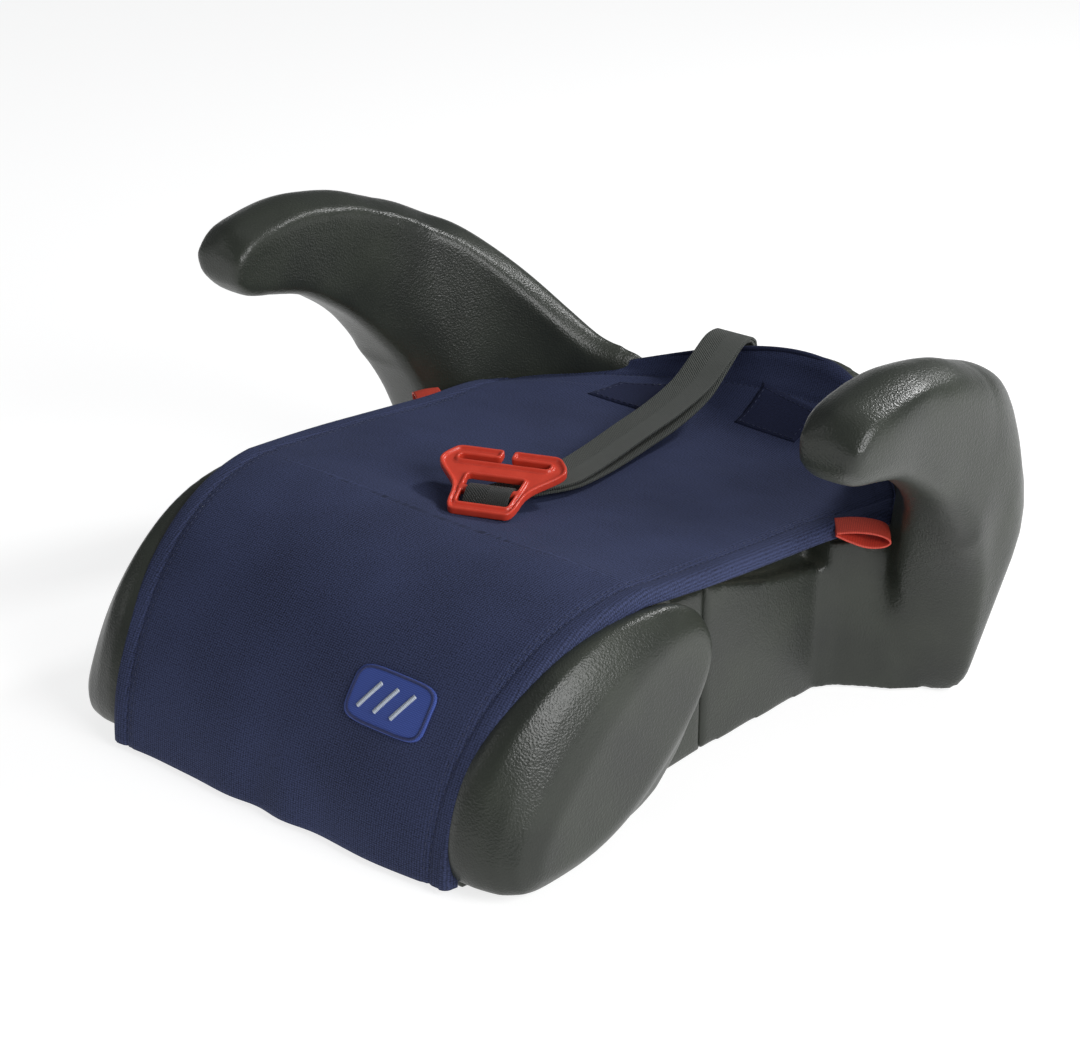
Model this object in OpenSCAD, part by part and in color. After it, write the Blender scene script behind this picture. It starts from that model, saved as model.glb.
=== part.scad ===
// Child's booster seat: moulded two-part body with swan-neck belt guides, padded cover,
// and a webbing strap that carries a shoulder-belt clip.
// Millimetres, +Z up, the seat faces -Y, +X is the right side seen from the front.

/* [Seat] */
// Height of the highest line of the seat, behind the front roll
seat_h = 122; // [116:1:126]
// Length of the rounded front roll
roll_len = 124; // [120:1:126]
// Half width of the cover at its front edge
front_half_w = 113; // [108:1:115]
// Half width of the cover at its middle
mid_half_w = 138; // [134:1:140]
// Drop of the seat towards the rear, per millimetre
rear_slope = 0.117; // [0.09:0.003:0.125]
// Depth of the dish along the middle of the seat
seat_dish = 4; // [2:0.5:5]
// Height of the raised rear edge at its highest point
rim_h = 137; // [134:1:138]
// Sideways place of that point
rim_peak = 46; // [40:2:52]

/* [Body] */
// Wall thickness of the moulded parts
wall = 3.2; // [2.6:0.2:4]
// Half width of the waist at the joint between front and rear body
waist_half_w = 121; // [116:1:122]
// Distance of the joint behind which the rear body starts, from the middle of the seat
joint_back = -12; // [-16:1:-8]
// Height of the body's lower edge above the floor
ground_gap = 1.5; // [1.5:0.5:3]

// Half width over the two front pods
pod_half_w = 151; // [147:1:154]

/* [Belt guides] */
// Height of the highest point of the belt guides
guide_h = 220; // [214:1:224]
// Half width over the two belt guides
guide_half_w = 221; // [218:1:224]

/* [Strap] */
// Width of the webbing
web_w = 25; // [24:0.5:25.5]
// Thickness of the webbing
web_t = 1.4; // [1.2:0.1:1.6]
// Turn of the belt clip about the vertical
clip_yaw = 22; // [18:1:24]
// Lift of the clip's wide end
clip_tilt = 12; // [10:1:14]

/* [Base] */
// Radius of the base screws' shanks
screw_r = 2; // [1.8:0.1:2.2]
// Radius of the rubber feet
foot_r = 11; // [9:1:12]

/* [Hidden] */

shell_col = [0.25, 0.28, 0.26];
navy_col = [0.08, 0.10, 0.24];
red_col = [0.80, 0.16, 0.10];
web_col = [0.27, 0.29, 0.27];
steel_col = [0.70, 0.70, 0.72];

front_y = -202;              // face of the cover's front apron
crest_y = front_y + roll_len;
floor_z = 4;                 // lower edge of the cover's apron
rear_y = 194;                // rear edge of the cover at the middle
corner_y = 100;              // where the rear corners begin to round
edge_half_w = 146;           // half width at the rear corners
cover_t = 2.6;
pad_t = 8;
gap = 0.35;                  // clearance between neighbouring soft pieces
pivot = [95, 90];            // centre that the belt guides' roots turn about
end_y = 204;                 // rearmost face of the shell

// ---- small helpers -------------------------------------------------------------------

function mix(a, b, t) = a + (b - a) * t;
function clamp01(t) = min(1, max(0, t));
function ease(t) = let (c = clamp01(t)) c * c * (3 - 2 * c);
function flip_x(p) = [-p[0], p[1]];
function reversed(v) = [for (i = [len(v) - 1:-1:0]) v[i]];

// One pass of corner cutting round a closed outline
function cut_corners(p) = [for (i = [0:len(p) - 1]) let (a = p[i], b = p[(i + 1) % len(p)])
    each [mix(a, b, 0.25), mix(a, b, 0.75)]];

// A row of station values at place t along a list of stations, through every station
function station(rows, t) = let (
    n = len(rows) - 1, i = min(n - 1, floor(t)), f = t - i,
    a = rows[max(0, i - 1)], b = rows[i], c = rows[i + 1], d = rows[min(n, i + 2)])
    b + f * (0.5 * (c - a) + f * (a - 2.5 * b + 2 * c - 0.5 * d + f * 0.5 * (3 * (b - c) + d - a)));

function total(v) = [for (i = v) 1] * v;

// Polyhedron whose faces are turned the right way round, whichever way they were listed
module closed_solid(pts, faces) {
    volume = total([for (f = faces) cross(pts[f[0]], pts[f[1]]) * pts[f[2]]]);
    polyhedron(pts, volume < 0 ? faces : [for (f = faces) [f[0], f[2], f[1]]], convexity = 8);
}

// Closed solid through rings that all have the same number of points
module loft(rings) {
    n = len(rings[0]);
    m = len(rings);
    middles = [for (r = [rings[0], rings[m - 1]]) [for (k = [0:2]) total([for (p = r) p[k]]) / n]];
    sides = [for (j = [0:m - 2], i = [0:n - 1]) let (k = (i + 1) % n)
        each [[j * n + i, j * n + k, (j + 1) * n + k], [j * n + i, (j + 1) * n + k, (j + 1) * n + i]]];
    first = [for (i = [0:n - 1]) [m * n, (i + 1) % n, i]];
    last = [for (i = [0:n - 1]) [m * n + 1, (m - 1) * n + i, (m - 1) * n + (i + 1) % n]];
    closed_solid(concat([for (r = rings) each r], middles), concat(sides, first, last));
}

// Closed slab between two grids of points, each with rows of n points
module slab(top, low, n) {
    m = len(top) / n;
    o = len(top);
    up = [for (j = [0:m - 2], i = [0:n - 2]) let (a = j * n + i)
        each [[a, a + n, a + 1], [a + 1, a + n, a + n + 1]]];
    rim = concat([for (i = [0:n - 1]) i], [for (j = [1:m - 1]) j * n + n - 1],
        [for (i = [n - 2:-1:0]) (m - 1) * n + i], [for (j = [m - 2:-1:1]) j * n]);
    edge = [for (i = [0:len(rim) - 1]) let (a = rim[i], b = rim[(i + 1) % len(rim)])
        each [[a, b, b + o], [a, b + o, a + o]]];
    closed_solid(concat(top, low), concat(up, [for (f = up) [f[0] + o, f[2] + o, f[1] + o]], edge));
}

// ---- seat surface --------------------------------------------------------------------

// Half width of the cover at distance y
function half_w(y) = y < -6
    ? mid_half_w - (mid_half_w - front_half_w) * pow((-6 - y) / 196, 1.75)
    : mid_half_w + 6 * ease((y - 60) / 70);
// Rear edge of the cover at distance x from the middle
function rear_edge(x) = corner_y
    + (rear_y - corner_y) * pow(max(0, 1 - pow(abs(x) / edge_half_w, 2.4)), 1 / 2.4);
// Height of the rear edge at distance x from the middle
function rim_z(x) = mix(rim_h, rim_h - 45, ease(x < rim_peak ? (rim_peak - x) / 195
    : (x - rim_peak - 6) / 100));
// Height of the seat along the side view, without the rear lip
function base_z(y) = y < crest_y
    ? floor_z + (seat_h - floor_z) * sqrt(max(0, 1 - pow((crest_y - y) / roll_len, 2)))
    : seat_h - rear_slope * (y - crest_y);
function dish(x, y) = seat_dish * (1 - pow(x / 150, 2)) * ease((y + 150) / 90) * ease((185 - y) / 60);
function lip(x, y) = let (e = rear_edge(x), t = clamp01((y - (e - 62)) / 62))
    (rim_z(x) - base_z(e)) * (1 - sqrt(1 - t * t));
function seat_z(x, y) = base_z(y) - dish(x, y) + lip(x, y);

// Point of the seat surface: u runs -1 to 1 across, t runs 0 to 1 from the apron to the rear.
// Its direction into the seat is the side view's normal.
function roll_share() = 0.42;
function seat_y(u, t, e) = t < roll_share()
    ? crest_y - roll_len * cos(90 * t / roll_share())
    : mix(crest_y, e, (t - roll_share()) / (1 - roll_share()));
function seat_pt(u, t, inset, depth) = let (
    e = rear_edge(u * (edge_half_w - 4)) - inset,
    y = seat_y(u, t, e),
    x = u * (half_w(y) - inset),
    d = 1.5,
    s = (seat_z(x, min(y + d, e)) - seat_z(x, y - d)) / (min(y + d, e) - y + d),
    a = t < 0.004 ? 90 : min(90, atan(s)))
    [x, y + depth * sin(a), seat_z(x, y) - depth * cos(a)];

// Solid slab below the seat surface, from depth d0 to d1
module seat_slab(inset, d0, d1, start = 0) {
    us = [for (i = [0:16]) sin(90 * (i / 8 - 1))];
    ts = [for (j = [0:44]) mix(start, 1, j / 44)];
    slab([for (t = ts, u = us) seat_pt(u, t, inset, d0)],
         [for (t = ts, u = us) seat_pt(u, t, inset, d1)], 17);
}

// ---- body ----------------------------------------------------------------------------

// Plan of the front body: sides follow the cover, the rear end is the joint
function front_plan(inset) = let (
    ys = [for (i = [0:8]) mix(front_y + 5 + inset, joint_back - 0.2 - inset * 0.98, i / 8)],
    right = [for (y = ys) [min(half_w(y) - 0.5, waist_half_w) - inset, y]])
    concat(right, reversed([for (p = right) flip_x(p)]));

// Plan of the rear body at a height share h from 0 at the floor to 1 at the widest level.
// Near the floor a broad foot runs out under the belt guides.
function rear_plan(h, inset) = let (
    back = mix(178, end_y, h),
    k = ease(h / 0.75),
    foot = [[mix(146, 141, k), 97], [mix(160, 147, k), 105], [mix(171, 149, k), mix(116, 120, k)],
        [mix(176, 145, k), mix(137, 134, k)], [mix(160, 130, k), mix(155, 149, k)]],
    right = concat([[waist_half_w, joint_back + 0.2 + inset], [waist_half_w + 6, 79], [134, 89]],
        foot, [[112, 160], [92, 167], [84, mix(176, 200, h)], [60, back - 1], [0, back]]),
    inner = [for (p = right) [max(0, p[0] - inset),
        p[1] + inset * (p[1] > 130 ? -1 : p[1] > 85 ? 0.8 : 0)]])
    concat(inner, [for (i = [len(inner) - 2:-1:0]) flip_x(inner[i])]);

module front_outer(inset, low) {
    translate([0, 0, low]) linear_extrude(160) polygon(front_plan(inset));
}

module rear_outer(inset, low) {
    levels = [[low, 0], [20, 0.16], [40, 0.33], [60, 0.5], [85, 0.68], [125, 0.97], [160, 1]];
    loft([for (l = levels) [for (p = rear_plan(l[1], inset)) [p[0], p[1], l[0]]]]);
}

// Side view of the body below the pad, extruded across the seat
module under_seat(lower) {
    depth = cover_t + pad_t + 3 * gap;
    top = [for (i = [0:22]) let (a = 90 * i / 12)
        i < 12 ? [crest_y - (roll_len - depth - lower) * cos(a),
                  floor_z + (seat_h - floor_z - depth - seat_dish - lower) * sin(a)]
               : [mix(crest_y, 240, (i - 12) / 10),
                  seat_h - depth - seat_dish - lower
                  - rear_slope * (mix(crest_y, 240, (i - 12) / 10) - crest_y)]];
    rotate([90, 0, 90]) translate([0, 0, -200]) linear_extrude(400)
        polygon(concat(top, [[240, -20], [top[0][0], -20]]));
}

notch_z = 125.5;             // floor of the notch in the rim that the strap passes over

// The raised rim behind the cover
module rear_rim(inset) {
    outer = [for (i = [-14:14]) let (x = i * 6) [x, end_y - 1 - 6 * pow(abs(x) / 84, 4) - inset]];
    inner = [for (i = [14:-1:-14]) let (x = i * 6) [x, rear_edge(x) + 3 + inset]];
    crest = [for (i = [-14:14]) let (x = i * 6, notch = abs(x - strap_x) < 16 ? notch_z : rim_h)
        [x, min(rim_z(x) - 3, notch) - inset]];
    intersection() {
        translate([0, 0, 60]) linear_extrude(90) polygon(concat(outer, inner));
        rotate([90, 0, 0]) translate([0, 0, -300]) linear_extrude(300)
            polygon(concat(crest, [[84, 60], [-84, 60]]));
    }
}

// Recess under the cover's overhang, above the waist's top edge; grow makes it larger
module waist_recesses(grow) {
    line = [[-40 - grow, 97], [-5, 93], [40, 80], [85 + grow, 72], [85 + grow, 140],
        [-40 - grow, 140]];
    for (s = [0, 1]) mirror([s, 0, 0]) rotate([90, 0, 90])
        translate([0, -grow, waist_half_w - 7 - grow]) linear_extrude(40) polygon(line);
}

boss_xy = [[-85, -150], [85, -150], [-85, -40], [85, -40]];
rear_boss_xy = [[-90, 20], [90, 20], [-60, 140], [60, 140]];
panel_z = 5;                 // underside of the base panels
panel_t = 3;

module boss(p, top) {
    translate([p[0], p[1], panel_z + panel_t]) difference() {
        cylinder(r = screw_r + 3, h = top - panel_z - panel_t, $fn = 32);
        translate([0, 0, -1]) cylinder(r = screw_r + 0.05, h = 21, $fn = 32);
    }
}

bolt_xz = [[-80, 40], [80, 40], [-80, 75], [80, 75]];
module joint_holes() {
    for (b = bolt_xz) translate([b[0], joint_back - 20, b[1]]) rotate([-90, 0, 0])
        cylinder(r = 3.05, h = 40, $fn = 32);
}

module front_body() color(shell_col) {
    difference() {
        intersection() { front_outer(0, ground_gap); under_seat(0); }
        difference() {
            intersection() { front_outer(wall, -1); under_seat(wall); }
            waist_recesses(wall);
        }
        joint_holes();
        waist_recesses(0);
    }
    for (p = boss_xy) intersection() { boss(p, 130); under_seat(1); }
}

module rear_body() color(shell_col) {
    difference() {
        union() {
            intersection() { rear_outer(0, ground_gap); under_seat(0); }
            intersection() { rear_rim(0); rear_outer(0, ground_gap); }
        }
        for (s = [0, 1]) mirror([s, 0, 0]) guide_outer();
        difference() {
            intersection() { rear_outer(wall, -1); under_seat(wall); }
            waist_recesses(wall);
        }
        joint_holes();
        waist_recesses(0);
        anchor_hole();
    }
    for (p = rear_boss_xy) intersection() { boss(p, 130); under_seat(1); }
}

module base_panel(outline) {
    difference() {
        translate([0, 0, panel_z]) linear_extrude(panel_t) polygon(outline);
        children();
    }
}

module front_base_panel() color(shell_col) base_panel(front_plan(wall + 0.4))
    for (p = boss_xy) translate([p[0], p[1], 0]) cylinder(r = screw_r + 0.1, h = 20, $fn = 32);

module rear_base_panel() color(shell_col) base_panel(rear_plan(0, wall + 0.4)) {
    for (p = rear_boss_xy) translate([p[0], p[1], 0]) cylinder(r = screw_r + 0.1, h = 20, $fn = 32);
    guide_outer();
    mirror([1, 0, 0]) guide_outer();
}

// Pan-head screws that hold the base panels to the bosses
module panel_screws() color(steel_col)
    for (p = concat(boss_xy, rear_boss_xy)) translate([p[0], p[1], panel_z - 2.2]) difference() {
        union() {
            cylinder(r = screw_r * 2, h = 2.2, $fn = 32);
            cylinder(r = screw_r, h = 20, $fn = 32);
        }
        for (a = [0, 90]) rotate([0, 0, a]) translate([-2.2, -0.4, -1]) cube([4.4, 0.8, 2.2]);
    }

// Bolts and nuts that clamp the two bodies together at the joint
module joint_bolts() color(steel_col)
    for (b = bolt_xz) translate([b[0], joint_back, b[1]]) rotate([-90, 0, 0]) {
        translate([0, 0, -wall - 0.2 - 3]) cylinder(r = 5.5, h = 3, $fn = 6);
        translate([0, 0, -wall - 1]) cylinder(r = 3, h = 2 * wall + 5, $fn = 32);
        translate([0, 0, wall + 0.2]) cylinder(r = 5.5, h = 3, $fn = 6);
    }

foot_xy = [[-95, -172], [95, -172], [-104, -40], [104, -40], [-100, 60], [100, 60],
           [-45, 155], [45, 155]];
module rubber_feet() color([0.1, 0.1, 0.1]) for (p = foot_xy) translate([p[0], p[1], 0]) {
    cylinder(r1 = foot_r - 1, r2 = foot_r, h = panel_z, $fn = 40);
    translate([0, 0, panel_z]) cylinder(r = 2.5, h = panel_t + 2, $fn = 32);
}

// ---- belt guides ---------------------------------------------------------------------

// Stations along a belt guide, from its free tip round to the rear rim. Each row holds the
// travel (mm along the seat while negative, degrees round the pivot after), the top and bottom
// heights, then distances from the pivot line: inner face top and bottom, outer face top,
// middle and bottom.
guide_rows = [
    [-123, 199, 188,  93,  94, 112, 113, 111],
    [-120, 207, 181,  89,  90, 118, 120, 116],
    [-110, 215, 176,  87,  88, 122, 125, 121],
    [ -92, 219, 172,  86,  87, 124, 127, 122],
    [ -68, 221, 165,  86,  87, 125, 127, 122],
    [ -44, 218, 151,  85,  87, 125, 127, 122],
    [ -26, 214, 137,  84,  85, 124, 127, 121],
    [ -10, 208, 119,  82,  80, 123, 127, 120],
    [   0, 204, 103,  79,  74, 122, 127, 119],
    [   8, 199,  76,  77,  68, 120, 129, 114],
    [  14, 194,  40,  75,  63, 118, 131, 108],
    [  20, 189,   2,  72,  58, 114, 131, 102],
    [  30, 182,   2,  69,  56, 107, 129, 102],
    [  45, 167,   2,  67,  60,  98, 125, 100],
    [  60, 150,   2,  69,  64,  94, 119,  96],
    [  75, 131,   2,  73,  71,  95, 115,  92],
    [  88, 116,   2,  80,  78,  99, 114,  90],
    [ 100, 110,   2,  92,  88, 108, 116,  92]];

function guide_point(s, r, z) = s < 0
    ? [pivot[0] + r, pivot[1] + s, z]
    : [pivot[0] + r * cos(s), pivot[1] + r * sin(s), z];

// One ring of a belt guide with its lower edge at a height low; inset makes the ring of its
// hollow, open at the floor
function guide_ring(row, inset, low) = let (
    rise = guide_h / 220, out = guide_half_w - 221 - inset,
    zt = row[1] * rise - inset,
    zb = low > 3 ? low * rise + inset : (inset > 0 ? -5 : ground_gap),
    it = row[3] + inset, ib = row[4] + inset,
    ot = row[5] + out, om = row[6] + out, ob = row[7] + out,
    zo = mix(zb, zt, 0.66), zi = mix(zb, zt, 0.5),
    outline = [[ib, zb], [ib, zi], [it, zt], [ot, zt], [om, zo], [ob, zb]])
    [for (p = cut_corners(cut_corners(outline))) guide_point(row[0], p[0], p[1])];

guide_steps = 2 * (len(guide_rows) - 1);
module guide_outer() loft([for (i = [0:guide_steps]) let (row = station(guide_rows, i / 2))
    guide_ring(row, 0, row[2])]);
// The hollow takes its lower edge from a station before its own, which keeps a full wall
// where that edge drops steeply to the floor
module guide_hollow() loft([for (i = [4:guide_steps - 1])
    guide_ring(station(guide_rows, i / 2), wall + 1, station(guide_rows, i / 2 - 0.7)[2])]);

module belt_guide(side) difference() {
    mirror([side > 0 ? 0 : 1, 0, 0]) difference() {
        guide_outer();
        guide_hollow();
    }
    seat_slab(-3.4, -0.5, 11.6);
    seat_slab(0, -0.4, cover_t + 0.4);
    piping_cord(1.8);
}

module belt_guide_right() color(shell_col) belt_guide(1);
module belt_guide_left() color(shell_col) belt_guide(-1);

// ---- front pods ----------------------------------------------------------------------

// Side outlines of a front pod at growing distances from the middle, as [distance, points]
pod_inner = [[-189, 2], [-190, 16], [-184, 36], [-172, 60], [-154, 80], [-130, 97], [-95, 108],
    [-62, 107], [-46, 96], [-43, 66], [-56, 32], [-96, 2]];
pod_layers = [
    [-1, pod_inner],
    [0, pod_inner],
    [0.3, [[-192, 2], [-200, 17], [-195, 44], [-182, 72], [-158, 95], [-127, 111], [-89, 116],
           [-59, 112], [-43, 98], [-42, 64], [-58, 28], [-90, 2]]],
    [0.75, [[-186, 2], [-196, 17], [-191, 42], [-177, 68], [-155, 91], [-125, 107], [-90, 112],
           [-60, 109], [-42, 97], [-41, 72], [-62, 40], [-120, 4]]],
    [1, [[-178, 10], [-187, 24], [-182, 44], [-169, 66], [-148, 86], [-121, 100], [-90, 106],
           [-62, 104], [-46, 94], [-45, 74], [-66, 46], [-118, 14]]]];

function pod_x(share, y, inset) = (share < 0 ? half_w(y) - 8 : mix(half_w(y) + 2.8, pod_half_w, share))
    - inset;
function pod_ring(layer, inset) = [for (p = cut_corners(cut_corners(layer[1])))
    let (c = [-115, 58], d = p - c, q = c + d * (1 - inset / norm(d)))
    [pod_x(layer[0], q[0], inset), q[0], q[1]]];

module front_pod() {
    difference() {
        loft([for (l = pod_layers) pod_ring(l, 0)]);
        loft([for (l = pod_layers) pod_ring(l, wall)]);
        front_outer(-0.05, -5);
    }
}

module front_pod_right() color(shell_col) front_pod();
module front_pod_left() color(shell_col) mirror([1, 0, 0]) front_pod();

// ---- cover and pad -------------------------------------------------------------------

module seat_pad() color([0.85, 0.84, 0.78])
    seat_slab(12, cover_t + gap + 0.1, cover_t + gap + 0.1 + pad_t, 0.03);

module seat_cover() color(navy_col) seat_slab(0, 0, cover_t);

// Bound side hem of the cover, turned down over the body's edge
module side_binding(side) {
    ts = [for (i = [0:26]) 0.01 + 0.97 * i / 26];
    ring = [for (t = ts) let (a = seat_pt(side, t, 0, cover_t + 0.1), b = seat_pt(side, t, 0, 11))
        let (o = [side * 1.2, 0, 0], w = [side * 2.2, 0, 0])
        side > 0 ? [a - w, a + o, b + 2 * o, b + 2 * o - w] : [b + 2 * o - w, b + 2 * o, a + o, a - w]];
    loft(ring);
}
module side_binding_right() color(navy_col) side_binding(1);
module side_binding_left() color(navy_col) side_binding(-1);

// Corded edge along the rear of the cover
module piping_cord(r) {
    path = [for (i = [-15:15]) let (x = i * 8.2) [x, rear_edge(x) + 1.6, rim_z(x) - 1]];
    loft([for (p = path) [for (a = [0:45:315]) p + [0, r * cos(a), r * sin(a)]]]);
}
module rear_piping() color(navy_col) piping_cord(1.4);

// Sewn flat panel that follows the seat, between two shares of its width and length
module sewn_panel(u0, u1, t0, t1, h) {
    n = 8;
    grid = [for (j = [0:n], i = [0:n]) [mix(u0, u1, i / n), mix(t0, t1, j / n)]];
    slab([for (g = grid) seat_pt(g[0], g[1], 0, -gap - 0.25 - h)],
         [for (g = grid) seat_pt(g[0], g[1], 0, -gap - 0.25)], n + 1);
}

// Two reinforcement patches, one each side of the strap
module rear_patch() color([0.06, 0.07, 0.16]) {
    sewn_panel(-0.50, -0.24, 0.87, 0.96, 0.8);
    sewn_panel(0.20, 0.50, 0.91, 0.97, 0.8);
}

// Plain sewn patch low on the front apron
module front_patch() color([0.55, 0.60, 0.68]) sewn_panel(0.28, 0.72, 0.140, 0.205, 0.8);

// Hooks that pull the cover's apron under the front body
module cover_hooks() color([0.1, 0.1, 0.1]) for (x = [-70, 0, 70])
    translate([x - 10, front_y + 14, 0.4]) {
        cube([20, 16, 1]);
        translate([0, 14.5, 1]) cube([20, 1.5, 3]);
    }

// Folded ribbon loop that marks the lap belt's path, sewn into the side binding
module belt_tab(side) {
    pts = [[0, 0], [9, 5], [17, 7.5], [24, 6], [27, 1], [24, -4], [16, -6], [8, -3]];
    tab = [for (p = cut_corners(pts)) p];
    translate([side * 143, 79, side > 0 ? 98 : 92]) rotate([76, 0, 0])
        mirror([side > 0 ? 0 : 1, 0, 0]) rotate([0, 55, 0])
        linear_extrude(17, center = true) difference() {
            polygon(tab);
            offset(delta = -1.2) polygon(tab);
        }
}
module belt_tab_right() color(red_col) belt_tab(1);
module belt_tab_left() color(red_col) belt_tab(-1);

// ---- strap ---------------------------------------------------------------------------

clip_at = [2.5, -35.8, 124.5];
bar_y = -8;                  // place of the clip's bar along the clip
bar_r = 2.5;
loop_r = bar_r + 0.1;
strap_x = -18;
hinge_y = 200;
back_y = mix(178, end_y, 0.5);   // rear wall at height 60
back_lean = atan(0.47 * (end_y - 178) / 65);   // lean of the rear wall

module on_clip() translate(clip_at) rotate([0, 0, clip_yaw]) rotate([clip_tilt, 0, 0]) children();

// The upper layer's route from the rear edge to the clip: x, y, z, turn of the width
strap_route = [
    [-18, 199, 132.5, 0], [-17, 189, 132, 13], [-14, 172, 126, 14], [-11, 150, 118, 8],
    [-8, 120, 113.5, 2], [-3, 85, 113, -3], [4, 50, 114, -5], [10, 20, 116, -3],
    [11, 2, 117, 4], [7.6, -16, 118.3, 14], [3.9, -27.3, 118.7, 20], [4.2, -33.5, 120.4, 22],
    [6.75, -39.9, 125.1, 22]];
// The lower layer's drop below the upper one at each of those places
layer_drop = [1.6, 1.7, 3, 5, 6, 6, 5, 3.5, 2.6, 2.2, 2.2, 2.6, 4.66];

module band(drop) {
    n = len(strap_route) - 1;
    loft([for (i = [0:2 * n]) let (
        r = station(strap_route, i / 2),
        d = drop * station([for (v = layer_drop) [v]], i / 2)[0],
        w = web_w / 2 * [cos(r[3]), sin(r[3]), 0], h = [0, 0, web_t / 2],
        c = [r[0] + 0.35 * max(0, d - 2.6) * (i < n * 2 - 4 ? 1 : 0), r[1], r[2] - d])
        [c - w - h, c + w - h, c + w + h, c - w + h]]);
}

module strap() color(web_col) {
    band(0);
    band(1);
    on_clip() translate([2.4, bar_y, 0]) rotate([0, 90, 0]) difference() {
        cylinder(r = loop_r + web_t, h = web_w - 0.2, center = true, $fn = 48);
        cylinder(r = loop_r, h = web_w + 2, center = true, $fn = 48);
    }
}

// Frame on the rear wall: local +Z runs up the leaning wall, local Y stands out of it
module on_back(z) translate([strap_x, back_y + (z - 60) * tan(back_lean), z])
    rotate([-back_lean, 0, 0]) children();

tail_off = 2;                // room between the tail and the wall
tail_t = 2 * web_t + 0.2;

// Side-view point on the rear wall: distance out of the wall, and up along it from height 60
function back_pt(out, up) = [back_y + out * cos(back_lean) + up * sin(back_lean),
    60 - out * sin(back_lean) + up * cos(back_lean)];

// Part of the webbing behind the rear edge, down to its anchor
module strap_tail() color(web_col)
    translate([strap_x - web_w / 2, 0, 0]) rotate([90, 0, 90]) linear_extrude(web_w) polygon([
        [201.6, 126.6], [202.6, 126.6], [204.2, 124.8], back_pt(tail_off, 58),
        back_pt(tail_off, -12), back_pt(tail_off + tail_t, -12), back_pt(tail_off + tail_t, 59),
        [207.3, 125.6], [204.4, 129.4], [201.6, 129.4]]);

module strap_adjuster() color([0.1, 0.1, 0.1]) on_back(92) difference() {
    translate([-17, tail_off - 1.6, -11]) cube([34, tail_t + 3.2, 22]);
    translate([-web_w / 2 - 0.4, tail_off - 0.4, -12]) cube([web_w + 0.8, tail_t + 0.8, 24]);
    for (z = [-7, 2]) translate([-web_w / 2 - 0.4, tail_off, z]) cube([web_w + 0.8, 10, 5]);
}

module strap_anchor() color(steel_col) on_back(44) difference() {
    translate([-18, 0.05, -12]) cube([36, 2.2, 22]);
    translate([0, -1, -3]) rotate([-90, 0, 0]) cylinder(r = screw_r + 0.1, h = 5, $fn = 32);
}

module anchor_hole() on_back(44) translate([0, -12, -3]) rotate([-90, 0, 0])
    cylinder(r = screw_r + 0.05, h = 24, $fn = 32);

module anchor_screw() color(steel_col) on_back(44) translate([0, 0, -3]) rotate([-90, 0, 0]) {
    translate([0, 0, 2.3]) cylinder(r = screw_r * 2, h = 2.4, $fn = 32);
    translate([0, 0, -10]) cylinder(r = screw_r, h = 12.4, $fn = 32);
}

// Moulded guide that the car's shoulder belt slips into through the gap between its fingers
module belt_clip() color(red_col) on_clip() {
    outline = [[17, -27], [19, -6], [30, 7], [34, 14], [33.5, 18], [28, 26], [26, 27]];
    difference() {
        translate([0, 0, -2.2]) linear_extrude(4.4) difference() {
            polygon(concat(outline, reversed([for (p = outline) flip_x(p)])));
            polygon([[-16.4, 4], [-14.8, -21], [14.8, -21], [16.4, 4]]);
            translate([-25, 15]) square([50, 5.2]);
            translate([-3, 17]) square([6, 12]);
        }
    }
    translate([0, bar_y, 0]) rotate([0, 90, 0])
        cylinder(r = bar_r, h = 33, center = true, $fn = 48);
}

front_body();
rear_body();
belt_guide_left();
belt_guide_right();
front_pod_left();
front_pod_right();
front_base_panel();
rear_base_panel();
panel_screws();
joint_bolts();
rubber_feet();
seat_pad();
seat_cover();
side_binding_left();
side_binding_right();
rear_piping();
rear_patch();
front_patch();
cover_hooks();
belt_tab_left();
belt_tab_right();
strap();
strap_tail();
strap_adjuster();
strap_anchor();
anchor_screw();
belt_clip();
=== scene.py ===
import math
import random

import bmesh
import bpy
from mathutils import Matrix, Vector, noise
from mathutils.bvhtree import BVHTree


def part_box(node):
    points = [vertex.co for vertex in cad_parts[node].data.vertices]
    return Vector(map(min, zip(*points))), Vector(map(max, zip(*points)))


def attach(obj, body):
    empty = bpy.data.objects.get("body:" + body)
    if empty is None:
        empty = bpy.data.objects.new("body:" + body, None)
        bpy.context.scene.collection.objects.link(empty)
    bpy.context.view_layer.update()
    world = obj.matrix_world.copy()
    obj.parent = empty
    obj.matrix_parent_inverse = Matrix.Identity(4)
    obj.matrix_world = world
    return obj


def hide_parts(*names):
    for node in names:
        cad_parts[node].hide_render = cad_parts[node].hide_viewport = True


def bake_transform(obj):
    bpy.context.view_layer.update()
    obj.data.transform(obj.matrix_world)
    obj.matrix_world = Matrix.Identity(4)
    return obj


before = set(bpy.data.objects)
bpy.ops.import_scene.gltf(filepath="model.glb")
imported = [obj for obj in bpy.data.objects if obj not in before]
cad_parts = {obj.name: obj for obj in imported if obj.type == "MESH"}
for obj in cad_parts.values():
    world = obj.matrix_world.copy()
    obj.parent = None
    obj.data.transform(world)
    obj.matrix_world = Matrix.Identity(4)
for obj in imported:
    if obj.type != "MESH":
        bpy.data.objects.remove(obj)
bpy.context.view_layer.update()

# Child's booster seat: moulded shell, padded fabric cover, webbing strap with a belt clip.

scene = bpy.context.scene
MM = 0.001


# ---- studio --------------------------------------------------------------------------------
# A pale floor, one large softbox at the right, a weak one overhead and one at the front left,
# and a small one high at the rear. The camera stands 1.5 m away and looks down at the seat.

def link(name, mesh):
    piece = bpy.data.objects.new(name, mesh)
    scene.collection.objects.link(piece)
    return piece


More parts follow.
